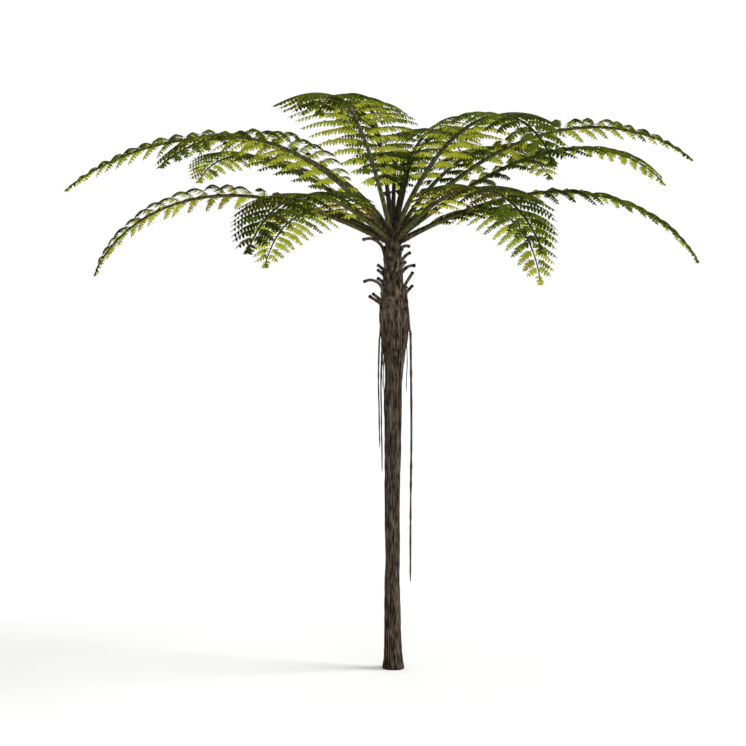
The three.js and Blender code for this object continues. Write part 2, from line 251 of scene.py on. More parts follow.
BARK_ROUGHNESS = 0.95
BARK_ROUGHNESS_SPAN = (0.8, 1.0)
BARK_STOPS = (0.2, 0.5, 0.9)  # where the dark, middle and light shades lie
BARK_STREAKS = (16, 0.2, 4)
TINT_SPAN = (0.42, 0.66)  # the streaks' noise between which the tint sets in


class Look:
    """A material in the making. Its methods add nodes and give their outputs."""

    def __init__(self, name, roughness, shine):
        self.material = bpy.data.materials.new(name)
        self.material.use_nodes = True
        self.tree = self.material.node_tree
        self.surface = self.tree.nodes["Principled BSDF"].inputs
        self.surface["Roughness"].default_value = roughness
        self.surface["Specular IOR Level"].default_value = shine

    def drive(self, name, value):
        """Links an input of the surface."""
        self.tree.links.new(value, self.surface[name])

    def node(self, kind, output, inputs, **settings):
        """Any node. Its inputs are plain values or outputs of other nodes."""
        node = self.tree.nodes.new("ShaderNode" + kind)
        for name, value in settings.items():
            setattr(node, name, value)
        for name, value in inputs.items():
            if isinstance(value, bpy.types.NodeSocket):
                self.tree.links.new(value, node.inputs[name])
            else:
                node.inputs[name].default_value = value
        return node.outputs[output]

    def noise(self, scale, stretch, detail, tilt=0):
        """Noise in the object's own frame, drawn out along the height."""
        place = self.node("TexCoord", "Object", {})
        place = self.node(
            "Mapping", "Vector", {"Vector": place, "Rotation": (tilt, tilt, 0), "Scale": (1, 1, stretch)}
        )
        return self.node("TexNoise", "Fac", {"Vector": place, "Scale": scale, "Detail": detail})

    def point_value(self, name):
        """The value that `mark_points` gave each point."""
        return self.node("Attribute", "Fac", {}, attribute_name=name)

    def span(self, value, start, end, low=0, high=1):
        """A value's way from `start` to `end`, laid over `low` to `high`."""
        ends = {"From Min": start, "From Max": end, "To Min": low, "To Max": high}
        return self.node("MapRange", "Result", {"Value": value, **ends})

    def combined(self, operation, *values):
        return self.node("Math", 0, dict(enumerate(values)), operation=operation)

    def mixed(self, share, first, second):
        """Two colours mixed by a value."""
        return self.node("Mix", "Result", {"Factor": share, "A": first, "B": second}, data_type="RGBA")

    def ramp(self, value, places, colours):
        """Colours laid over a value, each at its place."""
        output = self.node("ValToRGB", "Color", {"Fac": value})
        elements = output.node.color_ramp.elements
        elements[0].position, elements[0].color = places[0], (*colours[0], 1)
        elements[1].position, elements[1].color = places[-1], (*colours[-1], 1)
        for place, colour in zip(places[1:-1], colours[1:-1]):
            elements.new(place).color = (*colour, 1)
        return output

    def streaks(self, tones):
        """A dark and a light tone in long streaks."""
        return self.ramp(self.noise(*STREAKS), STREAK_STOPS, tones)

    def grained(self, roughness, value):
        """Spreads the roughness by a grain."""
        low, high = ROUGHNESS_SPREAD
        self.drive("Roughness", self.span(value, 0, 1, roughness + low, roughness + high))

    def bump(self, value, height):
        """Raises the surface by a value, to a height in metres."""
        inputs = {"Height": value, "Distance": height, "Strength": 1}
        self.drive("Normal", self.node("Bump", "Normal", inputs))


def leaf_material(name, colour):
    """A plain leaf colour with a faint grain in its gloss and surface."""
    look = Look(name, LEAF_ROUGHNESS, LEAF_SHINE)
    look.surface["Base Color"].default_value = (*colour, 1)
    grain = look.noise(*LEAF_GRAIN)
    look.grained(LEAF_ROUGHNESS, grain)
    look.bump(grain, LEAF_GRAIN_HEIGHT)
    return look.material


def stem_material(name, tones, roughness=STEM_ROUGHNESS):
    """Stems: a dark and a light tone in long streaks, with fine raised dots."""
    look = Look(name, roughness, STEM_SHINE)
    look.drive("Base Color", look.streaks(tones))
    dots = look.noise(*DOTS)
    look.grained(roughness, dots)
    look.bump(dots, DOT_HEIGHT)
    return look.material


def two_sided_stem(name, under, upper):
    """Stems with a pale lower side and a dark upper side, told apart by the value `upper`."""
    look = Look(name, STEM_ROUGHNESS, TWO_SIDED_SHINE)
    share = look.span(look.point_value("upper"), *UPPER_SPAN)
    look.drive("Base Color", look.mixed(share, look.streaks(under), look.streaks(upper)))
    look.bump(look.noise(*DOTS), DOT_HEIGHT)
    return look.material


def bark_material(name, dark, middle, light, tint):
    """Bark: crossed fibres tinted in long streaks, with painted shade in the furrows and painted light on
    the ridges, from the value `ridge`.
    """
    look = Look(name, BARK_ROUGHNESS, BARK_SHINE)
    tilts = (FIBRE_TILT, -FIBRE_TILT)
    fibre = look.combined("MAXIMUM", *(look.noise(*FIBRES, tilt) for tilt in tilts))
    # The value `ridge` carries painted shade in furrows and between the leaf bases, and painted light on
    # ridges.
    level = look.combined("MULTIPLY_ADD", fibre, FIBRE_SHARE, look.point_value("ridge"))
    shades = look.ramp(level, BARK_STOPS, (dark, middle, light))
    tinted = look.ramp(level, BARK_STOPS[::2], (dark, tint))
    share = look.span(look.noise(*BARK_STREAKS), *TINT_SPAN)
    look.drive("Base Color", look.mixed(share, shades, tinted))
    look.drive("Roughness", look.span(fibre, 0, 1, *BARK_ROUGHNESS_SPAN))
    look.bump(fibre, FIBRE_HEIGHT)
    return look.material


BARK = bark_material(
    "bark",
    dark=(0.004, 0.003, 0.002),
    middle=(0.042, 0.034, 0.025),
    light=(0.2, 0.17, 0.13),
    tint=(0.08, 0.062, 0.043),
)
ROOT = stem_material("root", ((0.01, 0.007, 0.005), (0.085, 0.06, 0.043)), 0.85)
STUB = stem_material("stub", ((0.008, 0.006, 0.004), (0.125, 0.094, 0.066)), 0.8)
CUT = stem_material("cut", ((0.008, 0.006, 0.005), (0.03, 0.023, 0.018)), 0.8)
SCALE = stem_material("scale", ((0.02, 0.013, 0.008), (0.075, 0.05, 0.03)))
FROND_STEM = two_sided_stem(
    "frond_stem",
    under=((0.032, 0.035, 0.011), (0.105, 0.11, 0.042)),
    upper=((0.006, 0.006, 0.002), (0.022, 0.02, 0.007)),
)
LEAFLET_RIB = two_sided_stem(
    "leaflet_rib",
    under=((0.1, 0.05, 0.03), (0.2, 0.12, 0.07)),
    upper=((0.012, 0.014, 0.005), (0.05, 0.055, 0.02)),
)
YOUNG_STEM = stem_material("young_stem", ((0.006, 0.005, 0.003), (0.025, 0.02, 0.013)))

# Lower faces of the leaves by kind, paler than the upper faces and brightened further with painted light
# that stands for light shining through the leaves, and their upper faces, darkened beyond their own green
# with painted shade.
LEAF_UNDERS_PAINTED_LIGHT = {
    "fresh": (0.45, 0.475, 0.035),
    "green": (0.31, 0.365, 0.025),
    "deep": (0.11, 0.155, 0.008),
    "olive": (0.3, 0.27, 0.02),
    "gold": (0.34, 0.25, 0.022),
    "rust": (0.26, 0.165, 0.035),
}
# Upper faces: their own dark green, darkened further with painted shade.
LEAF_TOPS_PAINTED_SHADE = {
    "dark": (0.012, 0.0195, 0.001),
    "mid": (0.034, 0.049, 0.002),
    "brownish": (0.034, 0.03, 0.003),
}
TOP_OF = dict(fresh="mid", green="dark", deep="dark", olive="dark", gold="brownish", rust="brownish")

# Leaf materials: lower faces with painted light, upper faces with painted shade.
UNDERS = {kind: leaf_material(f"leaf_under_painted_light_{kind}", colour) for kind, colour in LEAF_UNDERS_PAINTED_LIGHT.items()}
TOPS = {kind: leaf_material(f"leaf_top_painted_shade_{kind}", colour) for kind, colour in LEAF_TOPS_PAINTED_SHADE.items()}

# Trunk: the sizes of its solid, in metres. Height, radius and sideways shift of each section.
TRUNK = [
    (0.0, 0.117, 0.0), (0.04, 0.108, 0.0), (0.1, 0.097, -0.002), (0.25, 0.083, -0.008),
    (0.6, 0.074, -0.012), (1.2, 0.07, -0.012), (1.73, 0.073, -0.012), (2.26, 0.081, -0.009),
    (2.8, 0.084, -0.006), (3.12, 0.086, 0.006), (3.26, 0.104, 0.008), (3.43, 0.128, 0.006),
    (3.64, 0.134, 0.002), (3.85, 0.122, -0.004), (4.1, 0.106, -0.01), (4.25, 0.102, -0.011),
    (4.38, 0.094, -0.01), (4.5, 0.08, -0.008), (4.58, 0.058, -0.007), (4.622, 0.028, -0.006),
]
TRUNK_TOP = TRUNK[-1][0]
SKIN_DROP = 0.004  # from the solid's top down to the skin's last ring
TRUNK_COLUMNS = 160
TRUNK_ROWS = 560
# Ridge shading: painted light on the bark's ridges, painted shade in its furrows and on the inset core
# between the leaf bases.
PAINTED_RIDGE_SHADE = 0.24  # how far ridges and furrows spread the bark's shades
FULL_RIDGE = 0.016  # relief that gives the palest or the darkest shade
BARK_LEVEL = 1.33  # brings the fibres' noise to the middle of the bark's shades
FOOT_SHADE = [(0, 0.3), (0.45, 0.22), (1.3, 0.12), (2.2, 0), (5, 0)]  # the bark darkens towards its foot
END_SHADE = [-1, -1]  # of the middle points of both ends

# Layers of the bark's relief. Each has (cells in a turn, height of a cell, seed), its height on the bare
# trunk and what the mantle adds. Creases have sharp furrows, and lumps are smooth.
CREASES = [((16, 0.42, 3), 0.008, 0.006), ((34, 0.2, 4), 0.005, 0.002)]
CREASE_LEVEL = 0.6  # part of a crease that lies at the mean radius
LUMPS = [((52, 0.07, 5), 0.0012, 0.0), ((7, 0.3, 6), 0.002, 0.006)]
TOES = (9, 0.5, 7)
TOE_LEVEL = 0.55
TOE_HEIGHT = 0.022
FLARE_HEIGHT = 0.34  # the toes at the trunk's foot end here
FLARE_POWER = 1.5
MANTLE = (3.15, 4.3)  # heights between which roots wrap the trunk
MANTLE_EASE = (0.25, 0.3)
CORE = (3.7, 4.6)  # heights between which leaf bases cover the trunk
CORE_EASE = (0.4, 0.1)
# The inset also darkens the core's colour, as painted shade between the leaf bases.
CORE_INSET = 0.026  # the trunk's core lies in from its solid there
SWAYS = [(0.22, 1.9, 0.6), (0.1, 5.3, 0)]  # of the furrows: reach in radians, rate to a metre, start
NOISE_HEIGHT = 7  # metres of height that a layer's noise covers


def noise_grid(theta, z, around, tall, seed):
    """Smooth noise from -1 to 1 on the trunk: `around` cells in a turn, each `tall` metres high."""
    rows = int(NOISE_HEIGHT / tall) + 3
    lattice = np.random.default_rng(seed).uniform(-1, 1, (rows, around))
    column = (theta / (2 * np.pi) * around) % around
    row = z / tall + 0.5
    c, r = np.floor(column).astype(int), np.floor(row).astype(int)
    u, v = column - c, row - r
    u, v = u * u * (3 - 2 * u), v * v * (3 - 2 * v)
    c, after = c % around, (c + 1) % around
    low = mix(lattice[r, c], lattice[r, after], u)
    high = mix(lattice[r + 1, c], lattice[r + 1, after], u)
    return mix(low, high, v)


def creases(theta, z, around, tall, seed):
    """Rounded ridges with sharp furrows between them, from 0 in a furrow to 1."""
    return np.sqrt(np.abs(noise_grid(theta, z, around, tall, seed)))


def trunk_relief(theta, z):
    """Height of the bark over the mean radius. Furrows don't run straight: they sway with the height."""
    theta = theta + sum(reach * np.sin(rate * z + start) for reach, rate, start in SWAYS)
    mantle = within(z, MANTLE, MANTLE_EASE)
    flare = np.clip(1 - z / FLARE_HEIGHT, 0, 1) ** FLARE_POWER
    relief = TOE_HEIGHT * flare * (creases(theta, z, *TOES) - TOE_LEVEL)
    relief = relief - CORE_INSET * within(z, CORE, CORE_EASE)
    for cells, bare, added in CREASES:
        relief = relief + (bare + added * mantle) * (creases(theta, z, *cells) - CREASE_LEVEL)
    for cells, bare, added in LUMPS:
        relief = relief + (bare + added * mantle) * noise_grid(theta, z, *cells)
    return relief


def trunk_surface(theta, z, over=0.0):
    """Points on the bark, or a little over it."""
    radius = smooth_table(z, TRUNK, 1) + trunk_relief(theta, z) + over
    shift = smooth_table(z, TRUNK, 2)
    return np.stack([shift + radius * np.cos(theta), radius * np.sin(theta), z + 0 * theta], -1)


def trunk_skin():
    """The trunk's bark, from its flat cut to its top."""
    heights = np.linspace(0, TRUNK_TOP - SKIN_DROP, TRUNK_ROWS)
    turns = np.arange(TRUNK_COLUMNS) / TRUNK_COLUMNS * 2 * np.pi
    z, theta = np.meshgrid(heights, turns, indexing="ij")
    points = trunk_surface(theta, z).reshape(-1, 3)
    ends = np.array([[0, 0, 0], [TRUNK[-1][2], 0, TRUNK_TOP]])
    faces = np.vstack([grid_faces(TRUNK_ROWS, TRUNK_COLUMNS), cap_faces(TRUNK_ROWS, TRUNK_COLUMNS)])
    piece = mesh_piece("trunk_skin", np.vstack([points, ends]), faces, BARK)
    # Painted shade in furrows and between the leaf bases, painted light on ridges, and darker towards the
    # foot.
    painted_relief_shade = PAINTED_RIDGE_SHADE * np.clip(trunk_relief(theta, z) / FULL_RIDGE, -1, 1)
    shade = painted_relief_shade - table_at(z, FOOT_SHADE) - BARK_LEVEL
    mark_points(piece, "ridge", [shade.ravel(), END_SHADE])
    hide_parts("trunk")


# Roots that run down the trunk's face: how many, heights of the upper and lower ends, radius.
FACE_ROOTS = [
    (34, (3.75, 4.3), (2.5, 3.4), 0.010),
    (16, (3.1, 3.5), (0.9, 2.2), 0.007),
    (20, (1.6, 2.7), (0.15, 0.9), 0.0065),
    (22, (0.45, 1.2), (0.0, 0.02), 0.009),
]
FACE_ROOT_STEP = 0.035
FACE_ROOT_SIDES = 6
FACE_ROOT_OVER = 0.25  # part of its radius that the middle of a root lies over the bark
FACE_ROOT_DEPTH = 0.8  # a root's depth as a part of its width
FACE_ROOT_LOWEST = 0.001
FACE_ROOT_SWAY = (0.05, 0.16)  # radians
FACE_ROOT_RATE = (2.5, 6)  # of the sway, in radians to a metre
FACE_ROOT_ENDS = (0.12, 0.05)  # parts of a root over which it thins out, at its upper and lower end
FACE_ROOT_TIP = (0.3, 0.05)  # square of the size at the lower end, and the least
FACE_ROOT_SIZES = (0.7, 1.3)


def face_root(pile, turn, upper, lower, radius, random):
    """One root, which sways as it runs down the bark and thins out at both ends."""
    z = np.linspace(upper, lower, max(12, int((upper - lower) / FACE_ROOT_STEP)))
    sway = random.uniform(*FACE_ROOT_SWAY)
    sway = sway * np.sin(z * random.uniform(*FACE_ROOT_RATE) + random.uniform(0, 6))
    part = np.linspace(0, 1, len(z))
    above, below = FACE_ROOT_ENDS
    tip, least = FACE_ROOT_TIP
    taper = np.sqrt(np.clip(np.minimum(part / above, (1 - part) / below + tip), least, 1))
    points = trunk_surface(turn + sway, z, radius * FACE_ROOT_OVER * taper)
    points[:, 2] = np.maximum(points[:, 2], FACE_ROOT_LOWEST)
    side, top = across_of(points, np.array([-math.sin(turn), math.cos(turn), 0.0]))
    wide = radius * taper
    tube(pile, points, side, top, wide, wide * FACE_ROOT_DEPTH, ring_section(FACE_ROOT_SIDES))


def face_roots(random):
    pile = Pile()
    for count, uppers, lowers, size in FACE_ROOTS:
        for i in range(count):
            turn = (i + random.uniform(0, 0.8)) / count * 2 * np.pi
            upper, lower = random.uniform(*uppers), random.uniform(*lowers)
            face_root(pile, turn, upper, lower, size * random.uniform(*FACE_ROOT_SIZES), random)
    pile.piece("face_roots", ROOT, "trunk_bark")


# Cut leaf bases of the solid trunk: azimuth, height of the foot, rise, length and droop of the free end.
STUBS = [
    (185, 4.28, 78, 0.345, 105), (172, 4.14, 42, 0.098, 10), (190, 4.085, 42, 0.098, 10),
    (168, 4.005, 42, 0.095, 10), (183, 3.925, 62, 0.265, 96), (196, 3.795, 42, 0.16, 5),
    (160, 3.77, 36, 0.195, 5), (8, 4.355, 50, 0.125, 78), (350, 4.32, 60, 0.06, 10),
    (20, 4.19, 66, 0.19, 42), (345, 4.165, 50, 0.09, 10), (5, 4.09, 62, 0.2, 72), (352, 3.925, 61, 0.23, 6),
    (10, 3.85, 54, 0.175, 8), (262, 4.18, 52, 0.11, 20), (285, 4.02, 50, 0.12, 20),
    (240, 4.05, 52, 0.11, 20), (255, 3.83, 46, 0.11, 15), (92, 4.2, 52, 0.12, 25),
    (118, 4.04, 50, 0.15, 50), (66, 4.09, 52, 0.11, 20), (80, 3.88, 50, 0.18, 80),
    (130, 3.84, 44, 0.11, 15), (40, 3.9, 46, 0.12, 20),
]
STUB_RADIUS = 0.017
STUB_SUNK = 0.03
STUB_STEPS = 4
STUB_BEND = 1.5  # power by which the free end droops
STUB_RUN = 0.36  # how far a leaf base runs down the trunk's face
STUB_OVER = np.array([-0.014, -0.004, 0.004])  # height over the bark of its foot, its middle and its head
STUB_SWELL = [(0, 0.4), (0.22, 1.5), (0.5, 1.45), (0.75, 1.2), (1, 1.1)]  # share of the radius along a base
STUB_POINTS = 22
SMALL_BASES = 84
SMALL_RADIUS = 0.019
SMALL_LENGTH = (0.2, 0.34)
SMALL_ROWS = np.array([-0.7, -0.3, 0.08, 0.4])  # heights along a small base, as parts of its length
SMALL_OVER = np.array([-0.016, -0.006, 0.004, 0.02])
SMALL_SWELL = [(0, 0.3), (0.3, 1.1), (0.6, 1.0), (1, 0.7)]
SMALL_POINTS = 14
SMALL_SIZES = (0.75, 1.1)
SMALL_TURN = 9  # degrees by which chance turns them
SMALL_LEAN = 1.4  # the most of a base's lean
BASES_SPAN = (3.6, 4.53)  # heights between which small bases cover the trunk
GOLDEN_TURN = 137.5  # degrees from one small base to the next
LEAN = 0.15  # radians that a base leans sideways on its way down, per half of its run
BASE_SECTION = ring_section(11, [(1, 0.84), (3, 0.8), (5, 0.86), (8, 0.8)])
BASE_DEPTH = 0.85  # a base's depth as a part of its width
BASE_UNEVEN = 0.07
CUT_SIDES = 9
CUT_DEPTH = 0.9
CUT_REACH = np.array([-1.6, -0.3, 0.25, 0.1])  # of a cut's rings past the end of its base, in radii
CUT_SIZE = np.array([1.02, 1.06, 1.0, 0.55])  # of those rings, as shares of the base's end


def stub_path(azimuth, height, rise, length, droop):
    """Free part of a stub, by the rule of its solid."""
    out = outward(azimuth)
    radius, shift = (smooth_table(np.array(height), TRUNK, column) for column in (1, 2))
    points = [np.array([shift, 0, height]) + out * (radius - STUB_SUNK)]
    for i in range(STUB_STEPS):
        angle = math.radians(rise - droop * ((i + 0.5) / STUB_STEPS) ** STUB_BEND)
        step = (length if i else length + STUB_SUNK) / STUB_STEPS
        points.append(points[i] + (out * math.cos(angle) + UP * math.sin(angle)) * step)
    return points


def leaf_base(pile, cuts, points, radius, swell, random):
    """A stem base with ribs along it and a dark, hollowed cut at its end."""
    side, top = across_of(points, np.cross(UP, unit(points[-1] * (1, 1, 0))))
    size = radius * table_at(np.linspace(0, 1, len(points)), swell)
    size = size * (1 + BASE_UNEVEN * random.normal(size=len(points)))
    tube(pile, points, side, top, size, size * BASE_DEPTH, BASE_SECTION)
    ahead = unit(points[-1] - points[-2])
    line = points[-1] + ahead * (CUT_REACH * radius)[:, None]
    side, top = (np.tile(direction[-1], (len(line), 1)) for direction in (side, top))
    wide = CUT_SIZE * size[-1]
    tube(cuts, line, side, top, wide, wide * CUT_DEPTH, ring_section(CUT_SIDES))


def stub_bases(pile, cuts, random):
    """The bases of the solid stubs, which run on down the trunk's face."""
    for azimuth, height, rise, length, droop in STUBS:
        run = np.array([height - STUB_RUN, height - STUB_RUN / 2, height])
        start = trunk_surface(math.radians(azimuth) + LEAN * np.array([2, 1, 0]), run, STUB_OVER)
        free = stub_path(azimuth, height, rise, length, droop)[1:]
        points = spline(np.vstack([start, free]), STUB_POINTS)
        leaf_base(pile, cuts, points, STUB_RADIUS, STUB_SWELL, random)


def small_bases(pile, cuts, random):
    """Short bases that cover the upper trunk, placed in a spiral."""
    for i in range(SMALL_BASES):
        turn = math.radians(GOLDEN_TURN * i + random.uniform(-SMALL_TURN, SMALL_TURN))
        rows = mix(*BASES_SPAN, i / (SMALL_BASES - 1)) + random.uniform(*SMALL_LENGTH) * SMALL_ROWS
        lean = LEAN * random.uniform(-SMALL_LEAN, SMALL_LEAN) * np.array([2, 1, 0, 0])
        points = spline(trunk_surface(turn + lean, rows, SMALL_OVER), SMALL_POINTS)
        radius = SMALL_RADIUS * random.uniform(*SMALL_SIZES)
        leaf_base(pile, cuts, points, radius, SMALL_SWELL, random)


def leaf_bases(random):
    pile, cuts = Pile(), Pile()
    stub_bases(pile, cuts, random)
    small_bases(pile, cuts, random)
    pile.piece("leaf_bases", STUB, "trunk_bark")
    cuts.piece("leaf_base_cuts", CUT, "trunk_bark")


# Hanging roots of the solids: azimuth, height where they leave, hanging distance, lower end, radius.
ROOTS = [
    (186, 3.52, 0.152, 2.3, 0.008), (203, 3.48, 0.136, 2.05, 0.008), (352, 3.56, 0.182, 0.905, 0.012),
    (262, 3.42, 0.15, 2.42, 0.007), (98, 3.5, 0.158, 1.65, 0.01),
]
ROOT_BEND = 0.15
ROOT_FREE = (0.35, 0.7, 1)  # parts of the hanging run where its line is set
ROOT_WAVE = (0.006, 5)  # reach in metres, and turn along the run in radians
ROOT_START = [(-2.6, 0.7), (-1.2, 0.82), (0.2, 0.93), (1, 0.99)]  # drop in bends, share of the distance
ROOT_STEP = 0.03
ROOT_SIDES = 7
ROOT_SWAY = 0.35  # in radii
ROOT_SWAY_TURN = (18, 30)  # radians along a root
ROOT_SWAY_RISE = 4  # the sway is full from a quarter of the root on
ROOT_UNEVEN = 0.1
ROOT_TAPER = [(0, 1.1), (0.9, 0.95), (0.98, 0.75), (1, 0.3)]
THREADS = 8  # thinner roots between them
THREAD_HEIGHT = (3.3, 3.55)
THREAD_DISTANCE = (0.112, 0.142)
THREAD_LENGTH = (0.25, 1.1)
THREAD_RADIUS = (0.003, 0.0055)


def hanging_root(pile, azimuth, height, distance, end, radius, random):
    """A root that leaves the trunk, bends down and hangs free."""
    out = outward(azimuth)
    line = [out * distance * reach + UP * (height - drop * ROOT_BEND) for drop, reach in ROOT_START]
    for part in ROOT_FREE:
        away = distance + ROOT_WAVE[0] * math.sin(part * ROOT_WAVE[1])
        line.append(out * away + UP * mix(height - ROOT_BEND, end, part))
    count = max(14, int((height - end) / ROOT_STEP))
    points = spline(line, count)
    part = np.linspace(0, 1, count)
    wave = np.sin(part * random.uniform(*ROOT_SWAY_TURN) + random.uniform(0, 6))
    sway = ROOT_SWAY * radius * wave * np.clip(part * ROOT_SWAY_RISE, 0, 1)
    side, top = across_of(points, np.cross(UP, out))
    size = radius * table_at(part, ROOT_TAPER) * (1 + ROOT_UNEVEN * random.normal(size=count))
    tube(pile, points + side * sway[:, None], side, top, size, size, ring_section(ROOT_SIDES))


def hanging_roots(random):
    pile = Pile()
    for row in ROOTS:
        hanging_root(pile, *row, random)
    for _ in range(THREADS):
        height = random.uniform(*THREAD_HEIGHT)
        distance = random.uniform(*THREAD_DISTANCE)
        end = height - random.uniform(*THREAD_LENGTH)
        azimuth = random.uniform(0, 360)
        hanging_root(pile, azimuth, height, distance, end, random.uniform(*THREAD_RADIUS), random)
    piece = pile.piece("hanging_roots", ROOT, "trunk_bark")
    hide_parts(*(f"root_{i + 1}" for i in range(len(ROOTS))))


# Fronds, by the rule of their solids: azimuth, rise, fall, length, bend, sweep, height of the foot, roll.
FRONDS = {
    "front_left": (241.5, 19, -44, 3.36, 1.53, 11, 4.445, 0),
    "front_right": (296, 22.8, -48.8, 3.385, 1.49, -6.8, 4.442, 0),
    "left_low": (185.6, 24.7, -65, 3.39, 1.85, 1, 4.447, -4),
    "right_low": (1.7, 27, -56.3, 3.47, 1.75, -1, 4.44, -9),
    "front_high": (254, 44.3, -33.8, 3.36, 1.6, 6.6, 4.51, 0),
    "front_right_high": (303.5, 51.5, -49.7, 3.5, 1.25, -14.7, 4.535, -4),
    "left_front_high": (223, 39, -35.5, 3.395, 1.37, 11.5, 4.5, 0),
    "right_high": (346.6, 46.2, -38.2, 3.4, 1.54, -6, 4.5, 0),
    "left_high": (199, 57, -38.3, 3.69, 0.88, -8, 4.555, 0),
    "right_back": (10.6, 36.4, -41.5, 3.4, 2.23, 10.3, 4.489, -8),
    "back_left_curve": (162.3, 39.1, -23.4, 3.39, 1.61, -47.9, 4.506, 0),
    "back_right_curve": (43.9, 50, -28.9, 3.35, 1.4, 11.9, 4.51, 0),
    "back_left_low": (127.1, 22.7, -40.4, 3.38, 1.66, -17.9, 4.463, 0),
    "back_right_low": (44.2, 22.7, -64, 3.39, 2.12, 20.5, 4.43, 0),
    "back_high": (99.2, 61.3, -35.8, 3.35, 2.08, 4.4, 4.53, 0),
    "back_right_high": (72.6, 64, -34.1, 3.35, 1.28, -4, 4.545, 0),
    "back_middle": (88, 56, -30, 3.3, 1.25, 0, 4.47, 0),
}
FOOT_DEPTH = 0.04
RIB_FOOT = (0.023, 0.026)
RIB_TIP = (0.0065, 0.0075)
RIB_POWER = 0.7  # by which a stem thins out along its length
ARCH_STEPS = 352
ROLL_RATE = 3  # a frond has its full roll from a third of its length on
STEM_STATIONS = 72
STEM_SECTION = ring_section(10, [(2, 0.9), (3, 0.9)])  # with a groove along the upper side
STEM_SWELL = (1.32, 1.13)  # at foot and tip, because stems are thicker than the solids' ribs
BROWN_FOOT = 0.04  # brown, scaly part of a stem
BROWN_STATIONS = 5
BROWN_OVERLAP = 0.97

# Leaflets, in pairs along a frond.
PAIRS = 18
STIPE = 0.2
CROWDING = 1.06
LEAFY_END = 0.955
LEAFLET = 0.62
WIDEST = 0.42
FIRST_LENGTH, LAST_LENGTH = 0.2, 0.23
LENGTH_FALL = 1.35  # power by which the leaflets shorten towards the tip
FIRST_ANGLE, LAST_ANGLE = 84, 52
LEAFLET_REACH = 0.97
LEAFLET_ARCH = 0.07  # rise of a leaflet's middle over its chord, as a part of its length
HIGH_ARCHES = {"left_low": 0.1, "right_high": 0.11, "left_front_high": 0.12, "left_high": 0.1}
LEAFLET_DROOP = 0.15
LOW_DROOPS = {"left_low": 0.07, "right_high": 0.1}
LEAFLET_POINTS = 13
LEAFLET_RIB_RADII = (0.0055, 0.0016)  # at its foot and its tip
THINNER_BELOW = 0.5  # the ribs of leaflets shorter than this are thinner
END_LEAFLET = 0.965  # where the end leaflet starts
END_POINTS = 6
TIP_LENGTH = 0.014

# Shares of the rule's leaflet lengths: tables of (place along the frond, share), for the leaflets on the
# right and on the left of a stem as seen from its foot.
RULE_SHARES = ([(0, 1)], [(0, 1)])
OWN_SHARES = {
    "front_high": ([(0.2, 0.88), (0.45, 0.95), (0.65, 1.38), (1, 1.3)], [(0.2, 1), (0.55, 0.9), (1, 0.88)]),
    "back_middle": ([(0, 0.8)], [(0, 0.8)]),
    "back_high": ([(0, 0.88)], [(0, 0.88)]),
}

# How far chance spreads the leaflets.
LENGTH_SPREAD = (0.95, 1.03)
ANGLE_SPREAD = 2.5
ARCH_SPREAD = (0.85, 1.15)
DROOP_SPREAD = (0.8, 1.15)
PLACE_SPREAD = 0.008

# Moods of the fronds: shares of the leaf kinds, in the order of LEAF_UNDERS_PAINTED_LIGHT.
MOODS = {
    "fresh": (0.62, 0.3, 0.06, 0.02, 0.0, 0.0),
    "mixed": (0.42, 0.42, 0.11, 0.05, 0.0, 0.0),
    "rusty": (0.3, 0.26, 0.1, 0.2, 0.08, 0.06),
    "gold": (0.24, 0.2, 0.04, 0.24, 0.15, 0.13),
}
FROND_MOODS = {
    "front_left": "rusty", "front_right": "rusty", "left_low": "rusty",
    "right_low": "mixed", "back_left_low": "mixed", "back_right_low": "mixed",
    "back_left_curve": "mixed", "back_right_curve": "mixed",
}  # all the others are fresh
GOLD_FRONDS = ("front_left", "front_right", "back_left_low", "back_right_low")
GOLD_PAIRS = 5  # their first leaflets turn gold and brown


class Arch:
    """The arch of a frond's stem: place and directions at parts s of its length."""

    def __init__(self, row):
        self.azimuth, self.rise, self.fall, self.length, self.bend, self.sweep, foot, self.roll = row
        shift = smooth_table(np.array(foot), TRUNK, 2)
        start = np.array([shift, 0, foot]) + outward(self.azimuth) * FOOT_DEPTH
        parts = (np.arange(ARCH_STEPS) + 0.5) / ARCH_STEPS
        moves = self.ahead(parts) * self.length / ARCH_STEPS
        self.line = np.vstack([start, start + np.cumsum(moves, axis=0)])

    def ahead(self, s):
        s = np.asarray(s, float)
        angle = np.radians(mix(self.rise, self.fall, s**self.bend))
        turn = np.radians(self.azimuth + self.sweep * s)
        return np.stack([np.cos(angle) * np.cos(turn), np.cos(angle) * np.sin(turn), np.sin(angle)], -1)

    def frame(self, s):
        s = np.asarray(s, float)
        at = along_line(self.line, s)
        ahead = self.ahead(s)
        level = unit(np.cross(ahead, UP))
        over = np.cross(level, ahead)
        tilt = np.radians(self.roll * np.minimum(1, ROLL_RATE * s))[..., None]
        side = level * np.cos(tilt) + over * np.sin(tilt)
        top = over * np.cos(tilt) - level * np.sin(tilt)
        return at, ahead, side, top


def rib_half(s):
    """Half of a stem's width and depth at parts s of its length."""
    return [mix(*STEM_SWELL, s) * mix(a, b, s**RIB_POWER) for a, b in zip(RIB_FOOT, RIB_TIP)]


def pair_at(k):
    """Part of a frond's length where pair k starts."""
    return STIPE + (1 - STIPE) * LEAFY_END * (1 - (1 - k / PAIRS) ** CROWDING)


def leaflet_length(u):
    if u < WIDEST:
        return LEAFLET * mix(FIRST_LENGTH, 1, math.sin(u / WIDEST * math.pi / 2))
    return LEAFLET * mix(1, LAST_LENGTH, ((u - WIDEST) / (1 - WIDEST)) ** LENGTH_FALL)


def leaflet_angle(u):
    return math.radians(mix(FIRST_ANGLE, LAST_ANGLE, u))


